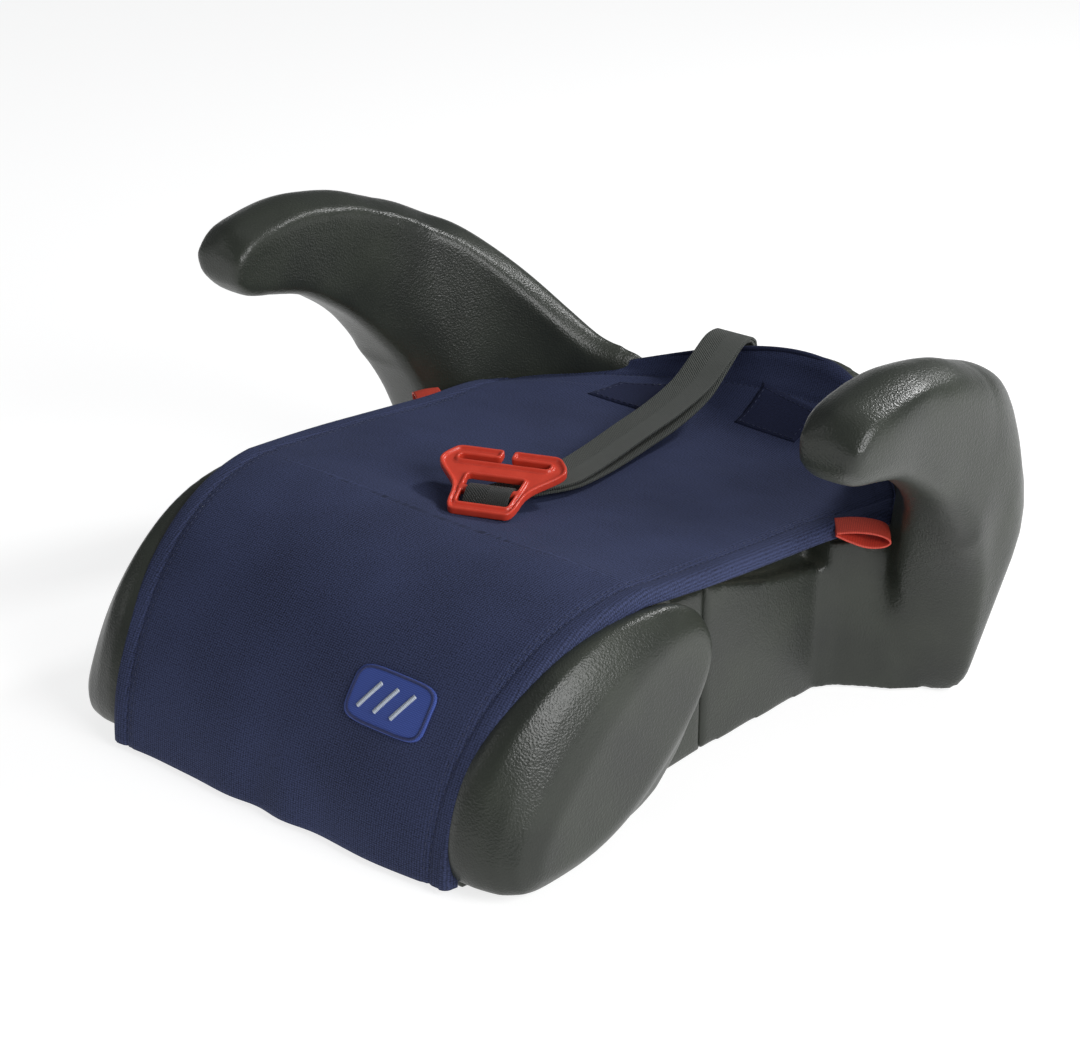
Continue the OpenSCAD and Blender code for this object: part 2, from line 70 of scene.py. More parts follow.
def written(name, bm):
    """A new mesh with what the bmesh holds, which is then freed."""
    mesh = bpy.data.meshes.new(name)
    bm.to_mesh(mesh)
    bm.free()
    return mesh


def evaluated(piece):
    """A new mesh of the piece with its modifiers or its curve bevel worked in."""
    return bpy.data.meshes.new_from_object(
        piece.evaluated_get(bpy.context.evaluated_depsgraph_get()))


def linear(code):
    """Linear colour of an sRGB hex value."""
    parts = [int(code[i:i + 2], 16) / 255 for i in (1, 3, 5)]
    return [c / 12.92 if c <= 0.04045 else ((c + 0.055) / 1.055) ** 2.4 for c in parts] + [1.0]


def add(tree, kind, settings=None, inputs=None, **options):
    """Adds a node: settings are socket values, inputs are links, options are its own choices."""
    made = tree.nodes.new(kind)
    for key, value in options.items():
        setattr(made, key, value)
    for key, value in (settings or {}).items():
        made.inputs[key].default_value = value
    for key, source in (inputs or {}).items():
        tree.links.new(source, made.inputs[key])
    return made


def material(name):
    """An empty node material with its Principled shader wired to the output."""
    made = bpy.data.materials.new(name)
    made.use_nodes = True
    tree = made.node_tree
    tree.nodes.clear()
    shader = add(tree, "ShaderNodeBsdfPrincipled")
    add(tree, "ShaderNodeOutputMaterial", inputs={"Surface": shader.outputs["BSDF"]})
    return made, tree, shader


def ramp(tree, value, dark, light, start=0, end=1):
    """Colour ramp between two sRGB hex values, from one value to another."""
    made = add(tree, "ShaderNodeValToRGB", inputs={"Fac": value})
    for stop, place, code in zip(made.color_ramp.elements, (start, end), (dark, light)):
        stop.position = place
        stop.color = linear(code)
    return made


def bumped(tree, shader, height, strength, depth):
    """Relief on the shader's normal, its depth in mm."""
    bump = add(tree, "ShaderNodeBump", {"Strength": strength, "Distance": depth * MM},
               {"Height": height})
    tree.links.new(bump.outputs["Normal"], shader.inputs["Normal"])


def finish_with(piece, finish):
    piece.data.materials.clear()
    piece.data.materials.append(finish)


view_azimuth, view_elevation, view_roll = (math.radians(a) for a in (39.54, 25.06, 0.28))
away = Vector((math.sin(view_azimuth) * math.cos(view_elevation),
               -math.cos(view_azimuth) * math.cos(view_elevation), math.sin(view_elevation)))
level = Vector((math.cos(view_azimuth), math.sin(view_azimuth), 0))
raised = away.cross(level)
across = math.cos(view_roll) * level + math.sin(view_roll) * raised
upward = math.cos(view_roll) * raised - math.sin(view_roll) * level
eye = across * 0.00692 + upward * 0.0779 + away * 1.5179 + Vector((0, -0.006, 0))

lens = bpy.data.cameras.new("camera")
lens.sensor_width = 36
lens.lens = 93.85
lens.clip_start = 0.1
camera = bpy.data.objects.new("camera", lens)
scene.collection.objects.link(camera)
facing = Matrix((across, upward, away)).transposed().to_4x4()
camera.matrix_world = Matrix.Translation(eye) @ facing
scene.camera = camera

bm = bmesh.new()
bmesh.ops.create_grid(bm, x_segments=1, y_segments=1, size=9)
floor_mesh = written("floor", bm)
floor = link("floor", floor_mesh)
paper, tree, shader = material("matt_white_paper")
shader.inputs["Base Color"].default_value = linear("#a8a8a8")
shader.inputs["Roughness"].default_value = 0.9
shader.inputs["Emission Color"].default_value = linear("#ffffff")
shader.inputs["Emission Strength"].default_value = 0.78
finish_with(floor, paper)


def softbox(name, place, aim, size, power):
    light = bpy.data.lights.new(name, "AREA")
    light.shape = "RECTANGLE"
    light.size, light.size_y = size
    light.energy = power
    lamp = bpy.data.objects.new(name, light)
    scene.collection.objects.link(lamp)
    lamp.location = place
    lamp.rotation_euler = (Vector(aim) - Vector(place)).to_track_quat("-Z", "Y").to_euler()


softbox("key_right", (1.6, -0.2, 0.95), (0, 0, 0.1), (1.0, 0.9), 27)
softbox("overhead", (-0.1, 0.1, 1.5), (0, 0, 0.05), (1.2, 1.0), 1.5)
softbox("rear_top", (0.42, 1.15, 1.12), (0.05, 0, 0.15), (0.26, 0.2), 11)
softbox("front_left", (-1.1, -1.2, 0.9), (0, 0, 0.1), (0.7, 0.7), 2)

world = bpy.data.worlds.new("studio")
world.use_nodes = True
world.node_tree.nodes["Background"].inputs["Color"].default_value = linear("#dfe3e6")
world.node_tree.nodes["Background"].inputs["Strength"].default_value = 0.2
scene.world = world
scene.view_settings.view_transform = "Standard"


# ---- shell ---------------------------------------------------------------------------------
# Two hollow blow-moulded halves with belt guides and front pods, in dark green-grey
# polyethylene. The mould gives every edge a soft radius and the skin a leather grain.

def grained_polyethylene():
    """Matt skin with a leather grain: soft shine broken up by cells about 1.1 mm across."""
    made, tree, shader = material("grained_polyethylene")
    place = add(tree, "ShaderNodeTexCoord").outputs["Object"]
    patches = add(tree, "ShaderNodeTexNoise", {"Scale": 22, "Detail": 3}, {"Vector": place})
    tint = ramp(tree, patches.outputs["Fac"], "#262925", "#32362f", 0.3, 0.7)
    warp = add(tree, "ShaderNodeTexNoise", {"Scale": 420, "Detail": 2}, {"Vector": place})
    bent = add(tree, "ShaderNodeVectorMath", {"Scale": 0.0012}, {0: warp.outputs["Color"]},
               operation="SCALE")
    moved = add(tree, "ShaderNodeVectorMath", None, {0: place, 1: bent.outputs["Vector"]},
                operation="ADD")
    cells = add(tree, "ShaderNodeTexVoronoi", {"Scale": 1 / (1.1 * MM), "Smoothness": 0.6},
                {"Vector": moved.outputs["Vector"]}, feature="SMOOTH_F1")
    pores = add(tree, "ShaderNodeTexNoise", {"Scale": 1 / (0.5 * MM), "Detail": 2},
                {"Vector": place})
    grain = add(tree, "ShaderNodeMath", {1: 0.35}, {0: pores.outputs["Fac"],
                                                    2: cells.outputs["Distance"]},
                operation="MULTIPLY_ADD")
    bumped(tree, shader, grain.outputs["Value"], 0.5, 0.35)
    dull = add(tree, "ShaderNodeMapRange", {"To Min": 0.27, "To Max": 0.42},
               {"Value": patches.outputs["Fac"]})
    tree.links.new(tint.outputs["Color"], shader.inputs["Base Color"])
    tree.links.new(dull.outputs["Result"], shader.inputs["Roughness"])
    shader.inputs["IOR"].default_value = 1.51
    shader.inputs["Specular IOR Level"].default_value = 0.4
    return made


def mapped_grid(name, columns, rows, place):
    """A sheet: place(i, j) gives the point in mm and the pattern's own coordinates in mm."""
    bm = bmesh.new()
    bmesh.ops.create_grid(bm, x_segments=columns, y_segments=rows, size=1)
    uv = bm.loops.layers.uv.new("cloth")
    pattern = {}
    for v in bm.verts:
        i, j = round((v.co.x + 1) / 2 * columns), round((v.co.y + 1) / 2 * rows)
        point, pattern[v] = place(i, j)
        v.co = point * MM
    for f in bm.faces:
        f.smooth = True
        for loop in f.loops:
            loop[uv].uv = Vector(pattern[loop.vert]) * MM
    mesh = written(name, bm)
    return link(name, mesh)


def lofted(rings):
    """Closed solid through rings of points in mm, as a mesh."""
    n = len(rings[0])
    skin = mapped_grid("loft", n, len(rings) - 1, lambda i, j: (rings[j][i % n], (i, j)))
    bm = bmesh.new()
    bm.from_mesh(skin.data)
    bmesh.ops.remove_doubles(bm, verts=bm.verts, dist=1e-5)
    bmesh.ops.holes_fill(bm, edges=[e for e in bm.edges if e.is_boundary], sides=0)
    bmesh.ops.recalc_face_normals(bm, faces=bm.faces)
    bm.to_mesh(skin.data)
    bm.free()
    mesh = skin.data
    bpy.data.objects.remove(skin)
    return mesh


def merged(node):
    """The CAD mesh of a node with its double points joined."""
    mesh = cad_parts[node].data.copy()
    bm = bmesh.new()
    bm.from_mesh(mesh)
    bmesh.ops.remove_doubles(bm, verts=bm.verts, dist=1e-5)
    bm.to_mesh(mesh)
    bm.free()
    return mesh


def smooth_curve(points, t):
    """Point on the curve through all the points, t running over their numbers."""
    n = len(points) - 1
    i = max(0, min(n - 1, int(t)))
    f = t - i
    a, b, c, d = points[max(0, i - 1)], points[i], points[i + 1], points[min(n, i + 2)]
    return b + f * (0.5 * (c - a) + f * (a - 2.5 * b + 2 * c - 0.5 * d
                                         + f * 0.5 * (3 * (b - c) + d - a)))


def filleted(corners, steps=4):
    """Closed outline with a curve of its own radius at each corner."""
    points = []
    for k, (corner, radius) in enumerate(corners):
        here = Vector(corner)
        sides = [Vector(other[0]) - here for other in (corners[k - 1],
                                                       corners[(k + 1) % len(corners)])]
        a, b = (here + side.normalized() * min(radius, 0.45 * side.length) for side in sides)
        for n in range(steps + 1):
            t = n / steps
            points.append(a.lerp(here, t).lerp(here.lerp(b, t), t))
    return points


def rounded(points, passes=3):
    """Closed outline with its corners cut off, and cut again."""
    for _ in range(passes):
        points = [a.lerp(b, t) for a, b in zip(points, points[1:] + points[:1])
                  for t in (0.25, 0.75)]
    return points


fillet_reach, fillet_passes = 13, 22        # how far from a joint the fillet runs, in mm
foot_land = 2.5                             # height above the ground that keeps its edge


def relax(bm, verts):
    bmesh.ops.smooth_vert(bm, verts=verts, factor=0.5, use_axis_x=True, use_axis_y=True,
                          use_axis_z=True)


def moulded(name, parts, nodes, voxel, passes, joint=()):
    """Parts fused into one skin with soft edges, in place of the sharp nodes. Where the two
    meshes of joint meet, the skin is smoothed into a wide fillet."""
    bm = bmesh.new()
    for part in parts:
        bm.from_mesh(part)
    mesh = written(name, bm)
    rough = link(name, mesh)
    remesh = rough.modifiers.new("even", "REMESH")
    remesh.mode = "VOXEL"
    remesh.voxel_size = voxel
    even = evaluated(rough)
    rough.modifiers.clear()
    bm = bmesh.new()
    bm.from_mesh(even)
    skin = {max(bm.verts, key=lambda v: v.co.x)}        # only the outside is kept
    fresh = list(skin)
    while fresh:
        found = {e.other_vert(v) for v in fresh for e in v.link_edges} - skin
        skin |= found
        fresh = list(found)
    bmesh.ops.delete(bm, geom=[v for v in bm.verts if v not in skin], context="VERTS")
    standing = min(v.co.z for v in bm.verts)
    free = [v for v in bm.verts if v.co.z > standing + foot_land * MM]
    near = []
    if joint:
        trees = [BVHTree.FromPolygons([v.co for v in m.vertices], [f.vertices for f in m.polygons])
                 for m in joint]
        near = [v for v in free if all(t.find_nearest(v.co, fillet_reach * MM)[0] for t in trees)]
    for verts, rounds in ((free, passes), (near, fillet_passes)):
        for _ in range(rounds if verts else 0):
            relax(bm, verts)
    for f in bm.faces:
        f.smooth = True
    bm.to_mesh(even)
    bm.free()
    rough.data = even
    finish_with(rough, shell_skin)
    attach(rough, "seat")
    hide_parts(*nodes)
    return rough


def plugs(places, radius):
    """Short plugs that close bolt holes in a copied shell, so its inside can be left out."""
    bm = bmesh.new()
    for place in places:
        bmesh.ops.create_icosphere(bm, subdivisions=2, radius=radius * MM,
                                   matrix=Matrix.Translation(Vector(place) * MM))
    mesh = written("plugs", bm)
    return mesh


def lid(node):
    """A base panel made slightly larger, to close a copied shell from below."""
    mesh = merged(node)
    low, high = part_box(node)
    middle = Vector(((low[0] + high[0]) / 2, (low[1] + high[1]) / 2, 0))
    mesh.transform(Matrix.Translation(middle) @ Matrix.Diagonal((1.01, 1.01, 1, 1))
                   @ Matrix.Translation(-middle))
    return mesh


# Stations along a belt guide: travel (mm before the pivot while negative, degrees round it
# after), top and bottom heights, then distances from the pivot line: inner face top and
# bottom, outer face top, middle and bottom.
guide_rows = [Vector(r) for r in [
    (-121, 199, 189, 90, 91, 117, 118, 116), (-119, 206, 184, 88, 89, 121, 123, 119),
    (-110, 215, 176, 87, 88, 123, 125, 121), (-92, 219, 172, 86, 87, 124, 127, 122),
    (-68, 221, 165, 86, 87, 125, 127, 122), (-44, 218, 151, 85, 87, 125, 127, 122),
    (-26, 214, 137, 84, 85, 124, 127, 121), (-10, 208, 119, 82, 80, 123, 127, 120),
    (0, 204, 103, 79, 74, 122, 127, 119), (8, 199, 76, 77, 68, 120, 129, 114),
    (14, 194, 40, 75, 63, 118, 131, 108), (20, 189, 2, 72, 58, 114, 131, 102),
    (30, 182, 2, 69, 56, 107, 129, 102), (45, 167, 2, 67, 60, 98, 125, 100),
    (60, 150, 2, 69, 64, 94, 119, 96), (75, 131, 2, 73, 71, 95, 115, 92),
    (88, 116, 2, 80, 78, 99, 114, 90), (100, 110, 2, 92, 88, 108, 116, 92)]]
pivot_x, pivot_y = 95, 90


def ease(t):
    t = min(1, max(0, t))
    return t * t * (3 - 2 * t)


def half_width(y):
    if y < -6:
        return 138 - 25 * ((-6 - y) / 196) ** 1.75
    return 138 + 6 * ease((y - 60) / 70)


def guide_ring(row, side):
    travel, top, low, inner, inner_low, outer, outer_mid, outer_low = row
    low = max(low, 1.5)
    drop = min(7, (top - low) * 0.25)
    softer = 4 + 30 * ease((travel + 75) / 85)      # the outer crease fades towards the rear
    under = 15 if travel < 14 else 9
    outline = filleted([((inner_low, low), 8), ((inner_low, low + (top - low) * 0.45), 30),
                        ((inner, top - drop), 4), (((inner + outer) / 2, top + 1.5), 16),
                        ((outer, top - drop), softer), ((outer_mid, low + (top - low) * 0.6), 30),
                        ((outer_low, low), under + 14 * ease((travel - 10) / 30))])
    if travel < 0:
        return [Vector((side * (pivot_x + r), pivot_y + travel, z)) for r, z in outline]
    a = math.radians(travel)
    return [Vector((side * (pivot_x + r * math.cos(a)), pivot_y + r * math.sin(a), z))
            for r, z in outline]


between = 5                                 # steps from one station to the next
guides = [lofted([guide_ring(smooth_curve(guide_rows, j / between), side)
                  for j in range((len(guide_rows) - 1) * between + 1)])
          for side in (1, -1)]
both_guides = bpy.data.meshes.new("guides")
bm = bmesh.new()
for guide in guides:
    bm.from_mesh(guide)
bm.to_mesh(both_guides)
bm.free()
shell_skin = grained_polyethylene()
rear_copy = merged("rear_body")
bolts = [(x, y, z) for x in (-80, 80) for z in (40, 75) for y in (-14, -10)]
moulded("rear_shell", [rear_copy, both_guides, lid("rear_base_panel"),
                       plugs(bolts[1::2] + [(-18, 186.4, 41)], 3.8)],
        ["rear_body", "belt_guide_left", "belt_guide_right"], 2.1 * MM, 3,
        (rear_copy, both_guides))
moulded("front_shell", [merged("front_body"), lid("front_base_panel"), plugs(bolts[::2], 3.8)],
        ["front_body"], 1.9 * MM, 4)

# Front pods: outlines in the side view at shares of the way from the body to the outer face
pod_outlines = [
    (-1, [(-190, 3), (-198, 17), (-194, 42), (-181, 68), (-157, 90), (-127, 106), (-89, 111),
          (-61, 107), (-46, 94), (-44, 64), (-58, 30), (-96, 2)]),
    (0, [(-192, 2), (-201, 17), (-197, 44), (-184, 72), (-159, 94), (-127, 110), (-89, 115),
         (-60, 111), (-44, 97), (-43, 64), (-57, 30), (-92, 2)]),
    (0.3, [(-192, 2), (-200, 17), (-195, 44), (-182, 72), (-158, 94), (-127, 110), (-89, 115),
           (-59, 111), (-43, 98), (-42, 64), (-58, 28), (-90, 2)]),
    (0.6, [(-188, 2), (-197, 15), (-191, 38), (-177, 63), (-155, 85), (-126, 101), (-91, 108),
           (-61, 106), (-43, 96), (-41, 70), (-62, 38), (-112, 3)]),
    (0.85, [(-182, 3), (-190, 16), (-183, 34), (-169, 55), (-147, 76), (-120, 93), (-89, 102),
            (-62, 102), (-45, 93), (-43, 72), (-64, 42), (-116, 6)]),
    (1, [(-172, 10), (-178, 20), (-170, 33), (-154, 50), (-132, 69), (-108, 85), (-84, 96),
         (-62, 98), (-48, 89), (-46, 74), (-67, 47), (-118, 13)])]


def pod_ring(level, side):
    layer = min(len(pod_outlines) - 2, int(level))
    (share_a, a), (share_b, b) = pod_outlines[layer], pod_outlines[layer + 1]
    f = level - layer
    share = share_a + (share_b - share_a) * f
    ring = []
    for y, z in rounded([Vector(p).lerp(Vector(q), f) for p, q in zip(a, b)]):
        reach = half_width(y) + 2.8
        x = half_width(y) - 8 if share < -0.99 else reach + (151 - reach) * share
        ring.append(Vector((side * x, y, z)))
    return ring


for name, side in (("right", 1), ("left", -1)):
    pod = lofted([pod_ring(0, side)] + [pod_ring(1 + j / 5, side) for j in range(21)])
    moulded("front_pod_shell_" + name, [pod], ["front_pod_" + name], 1.7 * MM, 6)


# ---- base ----------------------------------------------------------------------------------
# Flat black panels close the shell from below. Zinc-plated screws hold them to bosses, bolts
# join the two halves, and rubber feet press into the panels.

def spark_grained_polypropylene():
    """Black, with the fine even roughness of a spark-eroded mould, about 0.6 mm grit."""
    made, tree, shader = material("spark_grained_polypropylene")
    place = add(tree, "ShaderNodeTexCoord").outputs["Object"]
    grit = add(tree, "ShaderNodeTexNoise", {"Scale": 1 / (0.6 * MM), "Detail": 2},
               {"Vector": place})
    bumped(tree, shader, grit.outputs["Fac"], 0.35, 0.2)
    shade = ramp(tree, grit.outputs["Fac"], "#141515", "#222323")
    tree.links.new(shade.outputs["Color"], shader.inputs["Base Color"])
    shader.inputs["Roughness"].default_value = 0.55
    return made


def zinc_plated_steel():
    """Bright bluish plating with faint drawn streaks along the shank."""
    made, tree, shader = material("zinc_plated_steel")
    place = add(tree, "ShaderNodeTexCoord").outputs["Object"]
    drawn = add(tree, "ShaderNodeMapping", {"Scale": (900, 900, 60)}, {"Vector": place})
    streaks = add(tree, "ShaderNodeTexNoise", {"Scale": 1, "Detail": 3},
                  {"Vector": drawn.outputs["Vector"]})
    rough = add(tree, "ShaderNodeMapRange", {"To Min": 0.25, "To Max": 0.45},
                {"Value": streaks.outputs["Fac"]})
    shade = ramp(tree, streaks.outputs["Fac"], "#b9bdc2", "#d6d9dc")
    tree.links.new(shade.outputs["Color"], shader.inputs["Base Color"])
    tree.links.new(rough.outputs["Result"], shader.inputs["Roughness"])
    shader.inputs["Metallic"].default_value = 1
    return made


def moulded_rubber():
    """Matt black rubber with a dusty bloom."""
    made, tree, shader = material("moulded_rubber")
    place = add(tree, "ShaderNodeTexCoord").outputs["Object"]
    bloom = add(tree, "ShaderNodeTexNoise", {"Scale": 90, "Detail": 4}, {"Vector": place})
    shade = ramp(tree, bloom.outputs["Fac"], "#151515", "#262625")
    tree.links.new(shade.outputs["Color"], shader.inputs["Base Color"])
    shader.inputs["Roughness"].default_value = 0.8
    return made


black_plastic = spark_grained_polypropylene()
plated_steel = zinc_plated_steel()
for node in ("front_base_panel", "rear_base_panel", "cover_hooks"):
    finish_with(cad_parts[node], black_plastic)
for node in ("panel_screws", "joint_bolts", "strap_anchor", "anchor_screw"):
    finish_with(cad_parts[node], plated_steel)
finish_with(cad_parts["rubber_feet"], moulded_rubber())


# ---- seat surface --------------------------------------------------------------------------
# The form that the foam and the cover follow, in millimetres: a rounded front roll, a slightly
# dished seat that falls to the rear, and a lip that climbs to the rear rim.

front_y, crest_y, floor_z, seat_h, roll_len = -202, -78, 4, 122, 124
rim_h, rim_peak, edge_half_w, cover_t, pad_t = 137, 46, 146, 2.6, 8


def rear_edge(x):
    return 100 + 94 * max(0, 1 - (abs(x) / edge_half_w) ** 2.4) ** (1 / 2.4)


def rim_height(x):
    t = (rim_peak - x) / 195 if x < rim_peak else (x - rim_peak - 6) / 100
    return rim_h - 45 * ease(t)


def base_height(y):
    if y < crest_y:
        return floor_z + (seat_h - floor_z) * math.sqrt(max(0, 1 - ((crest_y - y) / roll_len) ** 2))
    return seat_h - 0.117 * (y - crest_y)


def seat_height(x, y):
    dish = 4 * (1 - (x / 150) ** 2) * ease((y + 150) / 90) * ease((185 - y) / 60)
    e = rear_edge(x)
    t = min(1, max(0, (y - (e - 62)) / 62))
    return base_height(y) - dish + (rim_height(x) - base_height(e)) * (1 - math.sqrt(1 - t * t))


def lean(x, y, edge):
    """Slope angle of the side view at a place on the seat."""
    if y < front_y + 0.02:
        return math.pi / 2
    ahead, behind = min(y + 1.5, edge), max(y - 1.5, front_y)
    return math.atan((seat_height(x, ahead) - seat_height(x, behind)) / (ahead - behind))


def sunk(x, y, depth, edge):
    """The point at a depth below the seat surface, along the side view's normal."""
    a = lean(x, y, edge)
    return Vector((x, y + depth * math.sin(a), seat_height(x, y) - depth * math.cos(a)))


def thicken(piece, thickness, round_by=0):
    """Gives a sheet its thickness, closed all round, and keeps the result as its mesh."""
    solid = piece.modifiers.new("thickness", "SOLIDIFY")
    solid.thickness = thickness
    solid.offset = 0
    if round_by:
        soft = piece.modifiers.new("edge", "BEVEL")
        soft.width = round_by
        soft.segments = 2
        soft.limit_method = "ANGLE"
        soft.angle_limit = math.radians(60)
    old = piece.data
    piece.data = evaluated(piece)
    piece.modifiers.clear()
    bpy.data.meshes.remove(old)
    bm = bmesh.new()
    bm.from_mesh(piece.data)
    bmesh.ops.recalc_face_normals(bm, faces=bm.faces)
    for f in bm.faces:
        f.smooth = True
    bm.to_mesh(piece.data)
    bm.free()


# ---- foam pad ------------------------------------------------------------------------------
# An 8 mm sheet of polyurethane foam, cut a little smaller than the cover and glued down
# under it. It shows only when the cover is off.

def open_cell_foam():
    """Cream foam with open cells about 1.5 mm across."""
    made, tree, shader = material("open_cell_foam")
    place = add(tree, "ShaderNodeTexCoord").outputs["Object"]
    cells = add(tree, "ShaderNodeTexVoronoi", {"Scale": 1 / (1.5 * MM)}, {"Vector": place})
    shade = ramp(tree, cells.outputs["Distance"], "#b9b19a", "#e3decb")
    bumped(tree, shader, cells.outputs["Distance"], 0.6, 0.5)
    tree.links.new(shade.outputs["Color"], shader.inputs["Base Color"])
    shader.inputs["Roughness"].default_value = 0.95
    return made


pad_inset, pad_columns, pad_rows = 12.5, 48, 90


def pad_place(i, j):
    u, t = 2 * i / pad_columns - 1, j / pad_rows
    edge = rear_edge(u * (edge_half_w - 4)) - pad_inset
    y = crest_y - (roll_len - 0.5) * math.cos(math.pi / 2 * t / 0.42) if t < 0.42 \
        else crest_y + (edge - crest_y) * (t - 0.42) / 0.58
    x = u * (half_width(y) - pad_inset)
    return sunk(x, y, cover_t + 0.5 + pad_t / 2, edge), (x, y)


foam = mapped_grid("foam_pad", pad_columns, pad_rows, pad_place)
thicken(foam, (pad_t - 0.6) * MM, 1.5 * MM)
finish_with(foam, open_cell_foam())
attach(foam, "seat")
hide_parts("seat_pad")


# ---- cover ---------------------------------------------------------------------------------
# Navy knitted polyester laminated on thin foam, cut in one piece with a bound strip along each
# side that turns down over the shell. A double seam and a rear seam hold the strips.

side_round, side_drop, fine_band = 3.5, 6.5, 30
side_seam, rear_seam = 10.5, 9          # distance of the seams from the edges
middle_columns, roll_rows, seat_rows, rear_rows = 36, 56, 66, 26


def knit(name, dark, light, pitch=1.5):
    """Knitted fabric: rows of loops drawn coarse enough to show, with a soft sheen."""
    made, tree, shader = material(name)
    cloth = add(tree, "ShaderNodeUVMap", uv_map="cloth").outputs["UV"]
    wales = add(tree, "ShaderNodeTexWave", {"Scale": math.pi / 10 / (pitch * MM), "Distortion": 1.2,
                                            "Detail Scale": 2.0}, {"Vector": cloth},
                bands_direction="X")
    courses = add(tree, "ShaderNodeTexWave", {"Scale": math.pi / 10 / (pitch * 0.8 * MM),
                                              "Distortion": 1.2, "Detail Scale": 2.0},
                  {"Vector": cloth}, bands_direction="Y")
    loops = add(tree, "ShaderNodeMath", None, {0: wales.outputs["Fac"], 1: courses.outputs["Fac"]},
                operation="MULTIPLY")
    fibres = add(tree, "ShaderNodeTexNoise", {"Scale": 1 / (0.9 * MM), "Detail": 3},
                 {"Vector": cloth})
    mottle_and_shade = add(tree, "ShaderNodeTexNoise", {"Scale": 14, "Detail": 3}, {"Vector": cloth})
    mixed = add(tree, "ShaderNodeMath", {1: 0.45}, {0: loops.outputs["Value"],
                                                    2: fibres.outputs["Fac"]},
                operation="MULTIPLY_ADD")
    toned = add(tree, "ShaderNodeMath", {1: 0.35}, {0: mottle_and_shade.outputs["Fac"],
                                                    2: mixed.outputs["Value"]},
                operation="MULTIPLY_ADD")
    shade = ramp(tree, toned.outputs["Value"], dark, light, 0.45, 1.0)
    bumped(tree, shader, mixed.outputs["Value"], 0.45, 0.3)
    tree.links.new(shade.outputs["Color"], shader.inputs["Base Color"])
    shader.inputs["Roughness"].default_value = 0.85
    shader.inputs["Sheen Weight"].default_value = 0.06
    shader.inputs["Sheen Roughness"].default_value = 0.5
    shader.inputs["Sheen Tint"].default_value = linear("#8f9cc8")
    shader.inputs["Specular IOR Level"].default_value = 0.2
    return made


def row_place(j, x):
    """Distance y of a row of the cover, and how far it is from the rear edge."""
    edge = rear_edge(x)
    if j <= roll_rows:
        return crest_y - roll_len * math.cos(math.pi / 2 * j / roll_rows), 200
    if j <= roll_rows + seat_rows:
        return crest_y + (edge - rear_rows - crest_y) * (j - roll_rows) / seat_rows, 200
    left = rear_rows - (j - roll_rows - seat_rows)
    return edge - left, left


def groove(distance, width):
    return math.exp(-(distance / width) ** 2)


def softness(x, y, to_side, to_rear):
    """How far the cloth stands above the plain form: seams pull it in, the foam fills it."""
    seams = 1.1 * groove(to_side - side_seam, 1.5) + 0.5 * groove(to_side - side_seam - 3, 1.0) \
        + 1.1 * groove(to_rear - rear_seam, 1.5)
    filled = 1.3 * ease(to_side / 45) * ease(to_rear / 50)
    drape = 1.1 * noise.noise(Vector((x / 70, y / 55, 0.3))) \
        + 0.35 * noise.noise(Vector((x / 24, y / 18, 2.1)))
    crease = 1.3 * groove(y + 52 + 0.10 * (x + 40), 9) * ease((x + 95) / 40) * ease((5 - x) / 40)
    bottom = 0.9 * math.sin(x / 9.0 + 1.2 * math.sin(x / 23)) * groove(y - front_y, 6)
    return filled + drape * ease(to_side / 10) - seams - crease + bottom


def cover_place(i, j):
    half = middle_columns + fine_band
    side = 1 if i >= half else -1
    k = abs(i - half)
    arc = side_round * math.pi / 2
    # the row's distance depends on x and the half width on the row, so settle both in turn
    x, y, to_rear = 0.0, 0.0, 0.0
    for _ in range(3):
        y, to_rear = row_place(j, side * min(abs(x), edge_half_w - 4))
        width = half_width(y)
        length = width - side_round + arc + side_drop - side_round
        to_end = half - k if k > middle_columns else fine_band
        run = length - to_end if k >= middle_columns else (length - fine_band) * k / middle_columns
        over = run - (width - side_round)
        x = side * min(run, width - side_round)
    if over <= 0:
        out, depth = 0.0, 0.0
    elif over <= arc:
        out = side_round * math.sin(over / side_round)
        depth = side_round * (1 - math.cos(over / side_round))
    else:
        depth = side_round + over - arc
        out = side_round + 0.25 * (depth - side_round)
    to_side = length - run - (side_drop - side_round) - arc + side_round
    edge = rear_edge(x)
    lift = softness(x, y, max(0, to_side), to_rear) * (1 if over <= 0 else 0.3)
    point = sunk(x, y, cover_t / 2 + depth - lift, edge)
    point.x += side * out
    climb = seat_height(x, y) - base_height(y)
    return point, (side * run, y + climb if y > crest_y else crest_y - 195 * (1 - j / roll_rows))


navy_knit = knit("navy_knit_polyester", "#131624", "#3d4567")
cover = mapped_grid("seat_cover_cloth", 2 * (middle_columns + fine_band),
                    roll_rows + seat_rows + rear_rows, cover_place)
thicken(cover, cover_t * MM)
finish_with(cover, navy_knit)
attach(cover, "seat")
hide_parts("seat_cover", "side_binding_left", "side_binding_right")


# ---- edge cord -----------------------------------------------------------------------------
# A thin cord in a strip of the cover's fabric, sewn along the rear edge.

